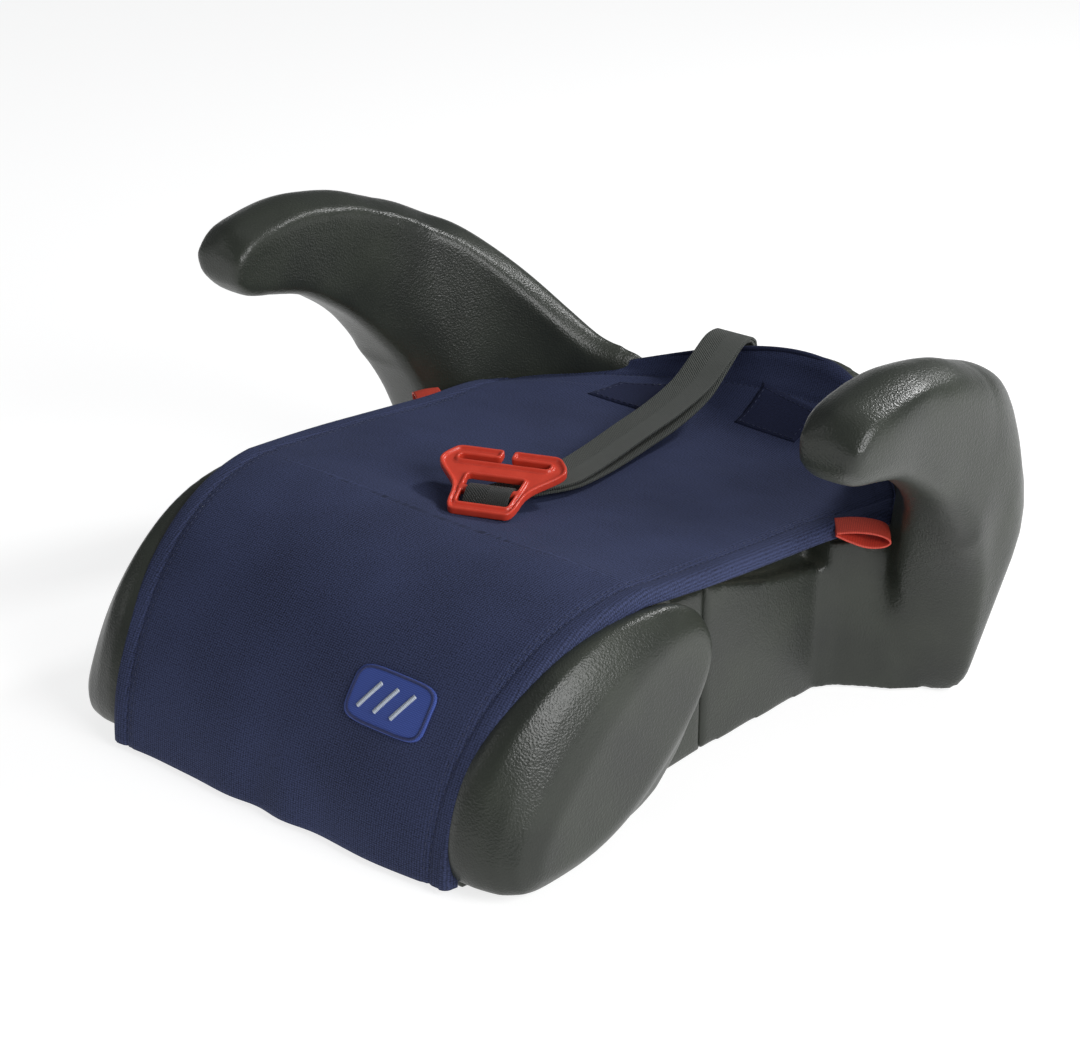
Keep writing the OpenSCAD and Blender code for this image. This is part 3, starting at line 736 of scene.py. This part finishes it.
bm = bmesh.new()
cord_layer = bm.loops.layers.uv.new("cloth")
cord_r, cord_steps, cord_sides = 1.5, 90, 10
rings = []
for n in range(cord_steps + 1):
    x = -126 + 252 * n / cord_steps
    centre = Vector((x, rear_edge(x) + 0.9, rim_height(x) - 1.2))
    ahead = Vector((x + 1, rear_edge(x + 1) + 0.9, rim_height(x + 1) - 1.2))
    ring = bmesh.ops.create_circle(bm, segments=cord_sides, radius=cord_r * MM)["verts"]
    turn = (ahead - centre).to_track_quat("Z", "Y").to_matrix().to_4x4()
    bmesh.ops.transform(bm, matrix=Matrix.Translation(centre * MM) @ turn, verts=ring)
    rings.append(ring)
for a, b in zip(rings, rings[1:]):
    edges = {e for v in a + b for e in v.link_edges
             if (e.verts[0] in a and e.verts[1] in a) or (e.verts[0] in b and e.verts[1] in b)}
    bmesh.ops.bridge_loops(bm, edges=list(edges))
for ring in (rings[0], rings[-1]):
    bmesh.ops.contextual_create(bm, geom=ring)
bmesh.ops.recalc_face_normals(bm, faces=bm.faces)
for f in bm.faces:
    f.smooth = True
    for loop in f.loops:
        loop[cord_layer].uv = (loop.vert.co.x, loop.vert.co.y + loop.vert.co.z)
cord_mesh = written("rear_edge_cord", bm)
cord = link("rear_edge_cord", cord_mesh)
finish_with(cord, knit("navy_edge_strip", "#171a2a", "#292f4a"))
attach(cord, "seat")
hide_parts("rear_piping")


# ---- stitches ------------------------------------------------------------------------------
# Polyester thread in lockstitch, one thread's length every 4 mm, along both side seams, the
# rear seam and the patches.

def spun_thread(name, code):
    """Twisted thread: fine slanting plies, with a slight shine."""
    made, tree, shader = material(name)
    place = add(tree, "ShaderNodeTexCoord").outputs["Object"]
    plies = add(tree, "ShaderNodeTexWave", {"Scale": math.pi / 10 / (0.5 * MM)}, {"Vector": place},
                bands_direction="DIAGONAL")
    bumped(tree, shader, plies.outputs["Fac"], 0.4, 0.1)
    shader.inputs["Base Color"].default_value = linear(code)
    shader.inputs["Roughness"].default_value = 0.6
    return made


def stitched(name, paths, finish, pitch=4.0, length=3.0, thread=0.32):
    """Stitches along paths of (point, outward direction) in mm, as one piece."""
    bm = bmesh.new()
    for path in paths:
        walked, due = 0.0, pitch / 2
        for (a, up_a), (b, _) in zip(path, path[1:]):
            step = (b - a).length
            while due <= walked + step:
                at = a.lerp(b, (due - walked) / step)
                forward = (b - a).normalized()
                sideways = forward.cross(up_a).normalized()
                turn = Matrix((sideways, forward, sideways.cross(forward))).transposed().to_4x4()
                size = Matrix.Diagonal((thread, length / 2, thread * 0.8, 1 / MM)) * MM
                bmesh.ops.create_icosphere(bm, subdivisions=1, radius=1,
                                           matrix=Matrix.Translation(at * MM) @ turn @ size)
                due += pitch
            walked += step
    for f in bm.faces:
        f.smooth = True
    mesh = written(name, bm)
    piece = link(name, mesh)
    finish_with(piece, finish)
    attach(piece, "seat")
    return piece


def on_cover(x, y, above=0.0):
    """Point just over the cloth at a place on the seat, and the way out of it."""
    edge = rear_edge(x)
    to_side = half_width(y) - abs(x)
    lift = softness(x, y, to_side, edge - y) + above
    point = sunk(x, y, -lift, edge)
    return point, (point - sunk(x, y, -lift + 1, edge)).normalized()


def seam_rows():
    rows = [crest_y - roll_len * math.cos(math.radians(a)) for a in range(3, 90, 2)]
    rows += list(range(crest_y, 97, 4))
    return rows


navy_thread = spun_thread("navy_polyester_thread", "#2c3350")
side_paths = [[on_cover(s * (half_width(y) - side_seam - off), y, 0.15) for y in seam_rows()]
              for s in (-1, 1) for off in (0, 3)]
rear_path = [on_cover(x, rear_edge(x) - rear_seam, 0.15) for x in range(-108, 111, 3)]
threads = stitched("cover_stitches", side_paths + [rear_path], navy_thread)


# ---- rear patches --------------------------------------------------------------------------
# Two panels of darker cloth, sewn on each side of the strap; their dark colour is painted shade,
# where the rear of the seat lies in shadow.

def seat_panel(name, corners, above, thickness, columns=24, rows=18):
    """A sewn panel on the cover between four corners given as (x, y), with soft edges."""
    a, b, c, d = (Vector(p) for p in corners)

    def place(i, j):
        u, v = i / columns, j / rows
        x, y = a.lerp(b, u).lerp(d.lerp(c, u), v)
        edge = min(u, 1 - u) * (b - a).length, min(v, 1 - v) * (d - a).length
        droop = 0.7 * (1 - ease(min(edge) / 2.0))
        return on_cover(x, y, above - droop)[0], (x, y)
    piece = mapped_grid(name, columns, rows, place)
    thicken(piece, thickness * MM)
    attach(piece, "seat")
    return piece


def panel_seam(corners, inset, above):
    """Closed path for stitches just inside a panel's edge."""
    middle = sum((Vector(c) for c in corners), Vector((0, 0))) / 4
    ring = [Vector(c) + (middle - Vector(c)).normalized() * inset * 1.4 for c in corners]
    path = []
    for a, b in zip(ring, ring[1:] + ring[:1]):
        path += [on_cover(*a.lerp(b, n / 12), above) for n in range(12)]
    return path + path[:1]


patch_spots = {"left": [(-80, 144), (-30, 147), (-29, 181), (-74, 167)],
               "right": [(13, 160), (57, 156), (58, 178), (13, 187)]}
# the panels' darker cloth paints the shade on the rear of the seat
painted_shade_cloth = knit("painted_shade_navy_cloth", "#15182a", "#262c49", 1.1)
for side, corners in patch_spots.items():
    patch = seat_panel("shade_panel_" + side, corners, 0.75, 0.9)
    finish_with(patch, painted_shade_cloth)
    if side == "left":
        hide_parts("rear_patch")
patch_threads = stitched("patch_stitches",
                         [panel_seam(c, 2.5, 1.3) for c in patch_spots.values()], navy_thread)


# ---- front patch ---------------------------------------------------------------------------
# A plain woven label on the apron: blue ground, a satin-stitched border and three embroidered
# bars. It carries no lettering.

def woven_label():
    """Fine plain weave in clear blue, 0.9 mm between threads."""
    made, tree, shader = material("woven_label_blue")
    cloth = add(tree, "ShaderNodeUVMap", uv_map="cloth").outputs["UV"]
    warp = add(tree, "ShaderNodeTexWave", {"Scale": math.pi / 10 / (0.9 * MM)}, {"Vector": cloth},
               bands_direction="X")
    weft = add(tree, "ShaderNodeTexWave", {"Scale": math.pi / 10 / (0.9 * MM)}, {"Vector": cloth},
               bands_direction="Y")
    weave = add(tree, "ShaderNodeMath", None, {0: warp.outputs["Fac"], 1: weft.outputs["Fac"]},
                operation="MULTIPLY")
    shade = ramp(tree, weave.outputs["Value"], "#2c3f86", "#4560b4")
    bumped(tree, shader, weave.outputs["Value"], 0.4, 0.2)
    tree.links.new(shade.outputs["Color"], shader.inputs["Base Color"])
    shader.inputs["Roughness"].default_value = 0.7
    return made


def apron_point(x, roll, above):
    """Point over the front roll: roll is the angle in degrees up from the apron's lower edge."""
    y = crest_y - roll_len * math.cos(math.radians(roll))
    return on_cover(x, y, above)


label_middle, label_size = (59.5, 37.0), (50, 13.5)     # x and roll angle; width mm, degrees
label_columns, label_rows, border_points = 40, 28, 120


def label_spot(u, v, above):
    """A place on the label: u and v run -1 to 1."""
    return apron_point(label_middle[0] + u * label_size[0] / 2,
                       label_middle[1] + v * label_size[1] / 2, above)


def label_place(i, j):
    u, v = 2 * i / label_columns - 1, 2 * j / label_rows - 1
    far = max(abs(u), abs(v), 1e-6)             # a square drawn in to a rounded rectangle
    draw = far / (abs(u) ** 5 + abs(v) ** 5) ** 0.2 if far > 1e-5 else 1
    u, v = u * draw, v * draw
    droop = 0.5 * ease((far - 0.9) / 0.1)
    return label_spot(u, v, 0.95 - droop)[0], (u * 27, v * 14)


label = mapped_grid("front_label", label_columns, label_rows, label_place)
thicken(label, 0.9 * MM)
finish_with(label, woven_label())
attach(label, "seat")
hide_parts("front_patch")
border = []
for n in range(border_points):
    angle = 2 * math.pi * n / border_points
    c, s = math.cos(angle), math.sin(angle)
    reach = (abs(c) ** 5 + abs(s) ** 5) ** -0.2
    border.append(label_spot(0.93 * reach * c, 0.93 * reach * s, 1.3))
border.append(border[0])
border_thread = spun_thread("navy_satin_thread", "#26305e")
rim = stitched("label_border", [border], border_thread, pitch=0.8, length=1.1, thread=0.9)
pale_thread = spun_thread("pale_grey_thread", "#b8c0cc")
bars = [[label_spot(k * 0.42 - 0.24 + 0.34 * n / 10, -0.5 + n / 10, 1.35) for n in range(11)]
        for k in (-1, 0, 1)]
motif = stitched("label_bars", bars, pale_thread, pitch=0.8, length=1.2, thread=1.5)


# ---- belt tabs -----------------------------------------------------------------------------
# Red woven ribbon folded into a flat loop and sewn under the cover's side edge, one each side.
# It marks where the car's lap belt runs.

def ribbon_weave(name, dark, light, pitch):
    """Ribbed ribbon: fine ribs across, with the weft's shine."""
    made, tree, shader = material(name)
    cloth = add(tree, "ShaderNodeUVMap", uv_map="cloth").outputs["UV"]
    ribs = add(tree, "ShaderNodeTexWave", {"Scale": math.pi / 10 / (pitch * MM), "Distortion": 0.6},
               {"Vector": cloth}, bands_direction="Y")
    fibres = add(tree, "ShaderNodeTexNoise", {"Scale": 1 / (0.7 * MM), "Detail": 2},
                 {"Vector": cloth})
    mixed = add(tree, "ShaderNodeMath", {1: 0.5}, {0: ribs.outputs["Fac"],
                                                   2: fibres.outputs["Fac"]},
                operation="MULTIPLY_ADD")
    shade = ramp(tree, mixed.outputs["Value"], dark, light, 0.35, 0.95)
    bumped(tree, shader, mixed.outputs["Value"], 0.4, 0.2)
    tree.links.new(shade.outputs["Color"], shader.inputs["Base Color"])
    shader.inputs["Roughness"].default_value = 0.6
    return made


red_ribbon = ribbon_weave("red_ribbed_ribbon", "#a52a1e", "#d34a37", 0.8)
tab_outline = [Vector(p) for p in [(0, 0), (8, 1.8), (17, 2.4), (25, 1.2), (28.5, -1.6), (25, -4.8),
                                   (17, -6), (8, -4), (0, -1.2)]]
tab_width, tab_columns, tab_rows = 15, 48, 16
for side, s, high in (("left", -1, 96), ("right", 1, 102)):
    out = Vector((s * 0.76, 0.62, -0.12)).normalized()
    run = Vector((-s * 0.5, 0.75, 0.1)).normalized()
    run = (run - out * run.dot(out)).normalized()
    tall = out.cross(run) * s
    root = Vector((s * 139, 75, high))

    def tab_place(i, j):
        p = smooth_curve(tab_outline, (len(tab_outline) - 1) * i / tab_columns)
        w = tab_width * (j / tab_rows - 0.5)
        slack = 0.6 * math.sin(j / tab_rows * math.pi) * math.sin(i / tab_columns * math.pi)
        return root + out * p.x + tall * (p.y + slack) + run * w, (w, i * 1.3)
    tab = mapped_grid("belt_tab_ribbon_" + side, tab_columns, tab_rows, tab_place)
    thicken(tab, 0.9 * MM)
    finish_with(tab, red_ribbon)
    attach(tab, "seat")
    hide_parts("belt_tab_" + side)


# ---- belt clip -----------------------------------------------------------------------------
# Orange-red acetal moulding: a thin plate with raised rims round its outline, its two finger
# slots and its window, and a bar in the window that the webbing loops round.

clip_at, clip_yaw, clip_tilt = Vector((2.5, -35.8, 124.5)), math.radians(22), math.radians(12)
on_clip = Matrix.Translation(clip_at) @ Matrix.Rotation(clip_yaw, 4, "Z") \
    @ Matrix.Rotation(clip_tilt, 4, "X")


def moulded_acetal():
    """Opaque orange-red with a soft gloss and faint flow marks."""
    made, tree, shader = material("moulded_acetal")
    place = add(tree, "ShaderNodeTexCoord").outputs["Object"]
    flow = add(tree, "ShaderNodeTexNoise", {"Scale": 120, "Detail": 3}, {"Vector": place})
    shade = ramp(tree, flow.outputs["Fac"], "#c03422", "#dd4a35")
    bumped(tree, shader, flow.outputs["Fac"], 0.15, 0.2)
    tree.links.new(shade.outputs["Color"], shader.inputs["Base Color"])
    shader.inputs["Roughness"].default_value = 0.36
    shader.inputs["IOR"].default_value = 1.48
    return made


def outline_curve(name, outlines, flat, extrude, bevel):
    """Curve object of closed outlines: a bevelled plate if flat, else rails of round section."""
    curve = bpy.data.curves.new(name, "CURVE")
    curve.dimensions = "2D" if flat else "3D"
    if flat:
        curve.fill_mode = "BOTH"
    curve.extrude, curve.bevel_depth, curve.bevel_resolution = extrude, bevel, 3
    for outline, closed, high in outlines:
        spline = curve.splines.new("POLY")
        spline.points.add(len(outline) - 1)
        for p, spot in zip(spline.points, outline):
            p.co = (spot.x, spot.y, high, 1)
        spline.use_cyclic_u = closed
    return curve


half_side = [((15.5, -27), 2), ((18, -22), 6), ((19, -6), 10), ((30, 7), 10), ((34, 13), 4),
             ((33.5, 18.5), 4), ((27.5, 26.8), 3), ((3, 26.8), 1.5)]
finger = [((3, 20.2), 1.5), ((25, 20.2), 2.5), ((25, 15), 2.5)]
right_half = half_side + finger
clip_outline = filleted(right_half + [((-x, y), r) for (x, y), r in reversed(right_half)], 3)
window = filleted([((-15.6, 4), 1.8), ((-14, -21), 1.8), ((14, -21), 1.8), ((15.6, 4), 1.8)], 3)
plate = outline_curve("plate", [(clip_outline, True, 0), (window, True, 0)], True, 1.0, 0.4)
rail_r = 1.0


def grown(outline, by):
    """Outline moved sideways by a distance; its points run clockwise or not."""
    moved = []
    n = len(outline)
    for k in range(n):
        along = (outline[(k + 1) % n] - outline[k - 1]).normalized()
        moved.append(outline[k] + Vector((along.y, -along.x)) * by)
    return moved


rails = outline_curve("rails", [(grown(clip_outline, 0.5 - rail_r), True, h) for h in (0, 1.2)]
                      + [(grown(window, rail_r - 0.5), True, h) for h in (0, 1.2)], False, 0,
                      rail_r)
bm = bmesh.new()
for curve, down in ((plate, -0.7), (rails, 0.2)):
    holder = link("clip_part", curve)
    part = evaluated(holder)
    part.transform(Matrix.Translation((0, 0, down)))
    bm.from_mesh(part)
    bpy.data.objects.remove(holder)
bmesh.ops.create_cone(bm, cap_ends=True, segments=32, radius1=2.5, radius2=2.5, depth=33,
                      matrix=Matrix.Translation((0, -8, 0)) @ Matrix.Rotation(math.pi / 2, 4, "Y"))
bmesh.ops.scale(bm, vec=(MM, MM, MM), verts=bm.verts)
mould = written("clip_mould", bm)
rough_clip = link("clip_mould", mould)
remesh = rough_clip.modifiers.new("fused", "REMESH")
remesh.mode = "VOXEL"
remesh.voxel_size = 0.5 * MM
fused = evaluated(rough_clip)
bpy.data.objects.remove(rough_clip)
bm = bmesh.new()
bm.from_mesh(fused)
for _ in range(2):
    relax(bm, bm.verts)
to_place = Matrix.Diagonal((MM, MM, MM, 1)) @ on_clip @ Matrix.Diagonal((1 / MM,) * 3 + (1,))
bmesh.ops.transform(bm, matrix=to_place, verts=bm.verts)
for f in bm.faces:
    f.smooth = True
bm.to_mesh(fused)
bm.free()
clip = link("shoulder_belt_clip", fused)
finish_with(clip, moulded_acetal())
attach(clip, "clip")
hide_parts("belt_clip")


# ---- strap ---------------------------------------------------------------------------------
# One length of 25 mm grey-green polyester webbing, doubled: it rises behind the seat, comes
# over the rear rim, loops round the clip's bar and goes back underneath itself.

def twill_webbing(shaded_at):
    """Twill webbing: slanting ribs 1.6 mm apart that turn back at the middle of the width."""
    made, tree, shader = material("twill_webbing")
    cloth = add(tree, "ShaderNodeUVMap", uv_map="cloth").outputs["UV"]
    parts = add(tree, "ShaderNodeSeparateXYZ", inputs={"Vector": cloth})
    folded = add(tree, "ShaderNodeMath", None, {0: parts.outputs["X"]}, operation="ABSOLUTE")
    slant = add(tree, "ShaderNodeMath", None, {0: folded.outputs["Value"], 1: parts.outputs["Y"]},
                operation="ADD")
    ribs = add(tree, "ShaderNodeCombineXYZ", None, {"X": slant.outputs["Value"]})
    twill = add(tree, "ShaderNodeTexWave", {"Scale": math.pi / 10 / (1.6 * MM), "Distortion": 0.8,
                                            "Detail": 1}, {"Vector": ribs.outputs["Vector"]},
                bands_direction="X")
    ends = add(tree, "ShaderNodeTexWave", {"Scale": math.pi / 10 / (1.1 * MM)}, {"Vector": cloth},
               bands_direction="X")
    fibres = add(tree, "ShaderNodeTexNoise", {"Scale": 1 / (0.8 * MM), "Detail": 2},
                 {"Vector": cloth})
    woven = add(tree, "ShaderNodeMath", {1: 0.4}, {0: ends.outputs["Fac"],
                                                   2: twill.outputs["Fac"]},
                operation="MULTIPLY_ADD")
    mixed = add(tree, "ShaderNodeMath", {1: 0.6}, {0: fibres.outputs["Fac"],
                                                   2: woven.outputs["Value"]},
                operation="MULTIPLY_ADD")
    shade = ramp(tree, mixed.outputs["Value"], "#0e100e", "#3f433e", 0.3, 1.0)
    # the length round the clip's bar is darkened with painted shade
    from_bar = add(tree, "ShaderNodeMath", {1: shaded_at * MM}, {0: parts.outputs["Y"]},
                   operation="SUBTRACT")
    off_bar = add(tree, "ShaderNodeMath", None, {0: from_bar.outputs["Value"]},
                  operation="ABSOLUTE")
    shade_factor = add(tree, "ShaderNodeMapRange", {"From Min": 0.014, "From Max": 0.020, "To Min": 0.2},
                {"Value": off_bar.outputs["Value"]})
    mottle_and_shade = add(tree, "ShaderNodeVectorMath", None, {0: shade.outputs["Color"],
                                                    1: shade_factor.outputs["Result"]},
               operation="MULTIPLY")
    bumped(tree, shader, mixed.outputs["Value"], 0.7, 0.4)
    tree.links.new(mottle_and_shade.outputs["Vector"], shader.inputs["Base Color"])
    shader.inputs["Roughness"].default_value = 0.7
    shader.inputs["Sheen Weight"].default_value = 0.1
    return made


web_w, web_t, back_y = 25, 1.4, 191
back_lean = math.atan(0.188)
strap_x = -18


def behind(out, up):
    """A point of the strap behind the seat: distance out of the rear wall, and up along it."""
    return (strap_x, back_y + out * math.cos(back_lean) + up * math.sin(back_lean),
            60 - out * math.sin(back_lean) + up * math.cos(back_lean), 0)


upper_route = [(-18, 199, 132.5, 4), (-17, 189, 132, 13), (-14, 172, 126, 14),
               (-11, 150, 118, 8), (-8, 120, 113.5, 2), (-3, 85, 113, -3), (4, 50, 114, -5),
               (10, 20, 116, -3), (11, 2, 117, 4), (7.6, -16, 118.3, 14), (3.9, -27.3, 118.7, 20),
               (3.2, -33.9, 120.4, 22), (5.45, -40.4, 125.1, 22)]
lower_drop = [1.6, 1.7, 3, 5, 6, 6, 5, 3.5, 2.6, 2.2, 2.2, 2.6]
loop_spots = [(1, -11, 3.6), (1, -15.5, 2.6), (1, -19.0, 0.2), (1, -19.6, -2.2),
              (1, -17, -3.9), (1, -10, -4.2)]
loop_route = []
for spot in loop_spots:
    p = on_clip @ Vector(spot)
    loop_route.append((p.x, p.y, p.z, 22))
outer_tail = [behind(4.3, -12), behind(4.3, 14), behind(4.3, 40), behind(4.2, 60),
              (-18, 205.9, 127.4, 0), (-18, 203.4, 130.6, 2)]
inner_tail = [(-18, 203.0, 128.2, 2), (-18, 204.3, 125.6, 0), behind(2.8, 58), behind(2.8, 40),
              behind(2.8, 14), behind(2.8, -12)]
lower_route = [(x + 0.35 * max(0, d - 2.6), y, z - d, yaw)
               for (x, y, z, yaw), d in zip(upper_route, lower_drop)]
route = [Vector(p) for p in outer_tail + upper_route + loop_route + lower_route[::-1] + inner_tail]
strap_columns, strap_steps = 12, 6
strap_rows = (len(route) - 1) * strap_steps
travel = [0.0]
for n in range(strap_rows):
    step = smooth_curve(route, (n + 1) / strap_steps) - smooth_curve(route, n / strap_steps)
    travel.append(travel[-1] + Vector(step[:3]).length)


def strap_place(i, j):
    spot = smooth_curve(route, j / strap_steps)
    yaw = math.radians(spot[3])
    u = (i / strap_columns - 0.5) * (web_w - 1)
    return Vector(spot[:3]) + u * Vector((math.cos(yaw), math.sin(yaw), 0)), (u, travel[j])


strap = mapped_grid("strap_webbing", strap_columns, strap_rows, strap_place)
thicken(strap, web_t * MM, 0.3 * MM)
# the strap's colour darkens the loop round the clip's bar with painted shade
finish_with(strap, twill_webbing(travel[(len(outer_tail + upper_route) + 1) * strap_steps]))
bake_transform(strap)
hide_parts("strap", "strap_tail")


# ---- adjuster ------------------------------------------------------------------------------
# Black ladder slide on the strap behind the seat. It is moved along to lengthen or shorten
# the strap, and holds by friction.

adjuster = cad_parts["strap_adjuster"]
finish_with(adjuster, black_plastic)
